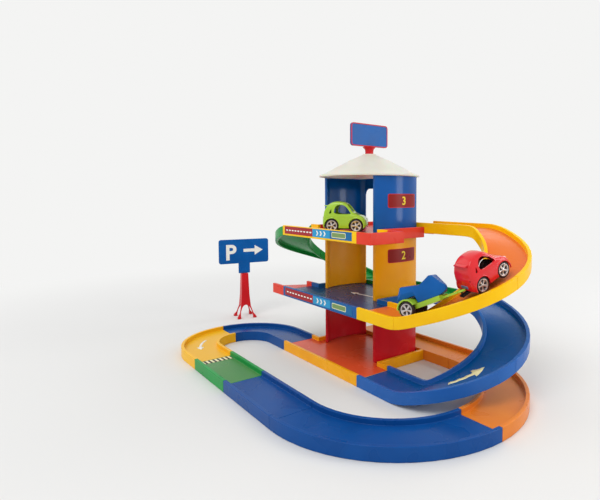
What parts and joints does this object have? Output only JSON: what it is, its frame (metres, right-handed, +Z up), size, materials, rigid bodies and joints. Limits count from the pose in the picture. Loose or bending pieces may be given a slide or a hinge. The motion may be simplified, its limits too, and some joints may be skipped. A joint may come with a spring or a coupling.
{
  "type": "toy parking garage",
  "caption": "Toy parking garage: stacked bays in a tower, curved ramps round it, a ground track, a sign, free-rolling cars and a towed trailer",
  "frame": {"origin": "the middle of the foot under the tower's lowest floor, on the surface that the toy stands on", "axes": "+X runs along the decks towards the ramps, +Y to the back of the tower, +Z up"},
  "size_m": [0.8575, 0.445, 0.467],
  "materials": {
    "amber": "glossy injection-moulded plastic, coloured through",
    "navy": "glossy injection-moulded plastic, coloured through",
    "red_wall": "glossy injection-moulded plastic, coloured through",
    "blue_wall": "glossy injection-moulded plastic, coloured through",
    "coral": "glossy injection-moulded plastic, coloured through",
    "yellow": "glossy injection-moulded plastic, coloured through",
    "blue": "glossy injection-moulded plastic, coloured through",
    "green": "glossy injection-moulded plastic, coloured through",
    "orange": "glossy injection-moulded plastic, coloured through",
    "roof": "translucent milky injection-moulded plastic",
    "sign_red": "glossy injection-moulded plastic, coloured through",
    "sign_blue": "glossy injection-moulded plastic, coloured through",
    "lime": "glossy injection-moulded plastic, coloured through",
    "car_red": "glossy injection-moulded plastic, coloured through",
    "load_blue": "glossy injection-moulded plastic, coloured through",
    "chassis": "dark moulded plastic base plate",
    "axle": "drawn steel wire",
    "wheel": "silver-sprayed hub moulded with a dark tyre"
  },
  "bodies": {
    "garage": {"blue_ramp_lower": "blue", "blue_ramp_upper": "blue", "green_ramp_lower": "green", "green_ramp_upper": "green", "ground_curve_back": "orange", "ground_curve_blue": "blue", "ground_curve_front": "blue", "ground_curve_yellow": "yellow", "ground_straight_blue": "blue", "ground_straight_green": "green", "level1_back_lane": "orange", "level1_tray": "amber", "level1_wall_left": "red_wall", "level1_wall_right": "red_wall", "level2_back_lane": "green", "level2_run_off": "coral", "level2_tray": "navy", "level2_wall_left": "amber", "level2_wall_right": "amber", "level3_back_lane": "coral", "level3_back_lintel": "blue_wall", "level3_deck": "yellow", "level3_end_stop": "coral", "level3_tray": "coral", "level3_wall_left": "blue_wall", "level3_wall_right": "blue_wall", "parking_sign_board": "sign_blue", "parking_sign_post": "sign_red", "roof": "roof", "roof_sign_board": "sign_blue", "roof_sign_post": "sign_red", "yellow_ramp_lower": "yellow", "yellow_ramp_start": "yellow", "yellow_ramp_upper": "yellow"},
    "green_car": {"green_car_body": "lime", "green_car_base": "chassis"},
    "green_car_front_wheels": {"green_car_front_axle": "axle", "green_car_front_wheel_left": "wheel", "green_car_front_wheel_right": "wheel"},
    "green_car_rear_wheels": {"green_car_rear_axle": "axle", "green_car_rear_wheel_left": "wheel", "green_car_rear_wheel_right": "wheel"},
    "red_car": {"red_car_body": "car_red", "red_car_base": "chassis"},
    "red_car_front_wheels": {"red_car_front_axle": "axle", "red_car_front_wheel_left": "wheel", "red_car_front_wheel_right": "wheel"},
    "red_car_rear_wheels": {"red_car_rear_axle": "axle", "red_car_rear_wheel_left": "wheel", "red_car_rear_wheel_right": "wheel"},
    "trailer": {"trailer_base": "lime", "trailer_load": "load_blue"},
    "trailer_wheels": {"trailer_axle": "axle", "trailer_wheel_left": "wheel", "trailer_wheel_right": "wheel"}
  },
  "joints": [
    {"name": "green_car_roll", "type": "slide", "parent": "garage", "child": "green_car", "axis": [0.7431, 0.6691, 0], "range_m": [-0.005, 0.012]},
    {"name": "red_car_roll", "type": "slide", "parent": "garage", "child": "red_car", "axis": [0.1297, 0.8959, 0.4249], "range_m": [0, 0.006]},
    {"name": "green_car_front_spin", "type": "hinge", "parent": "green_car", "child": "green_car_front_wheels", "pos_m": [0.04109, -0.06161, 0.2677], "axis": [-0.6691, 0.7431, 0], "continuous": true},
    {"name": "green_car_rear_spin", "type": "hinge", "parent": "green_car", "child": "green_car_rear_wheels", "pos_m": [0.00691, -0.09239, 0.2677], "axis": [-0.6691, 0.7431, 0], "continuous": true},
    {"name": "red_car_front_spin", "type": "hinge", "parent": "red_car", "child": "red_car_front_wheels", "pos_m": [0.30616, -0.00297, 0.21179], "axis": [-0.9897, 0.1433, 0], "continuous": true},
    {"name": "red_car_rear_spin", "type": "hinge", "parent": "red_car", "child": "red_car_rear_wheels", "pos_m": [0.30019, -0.04418, 0.19225], "axis": [-0.9897, 0.1433, 0], "continuous": true},
    {"name": "trailer_hitch", "type": "hinge", "parent": "red_car", "child": "trailer", "pos_m": [0.2967, -0.06832, 0.18301], "axis": [0, 0, 1], "range_deg": [-3, 3]},
    {"name": "trailer_spin", "type": "hinge", "parent": "trailer", "child": "trailer_wheels", "pos_m": [0.22223, -0.09229, 0.14729], "axis": [-0.2781, 0.9584, -0.0635], "continuous": true}
  ]
}
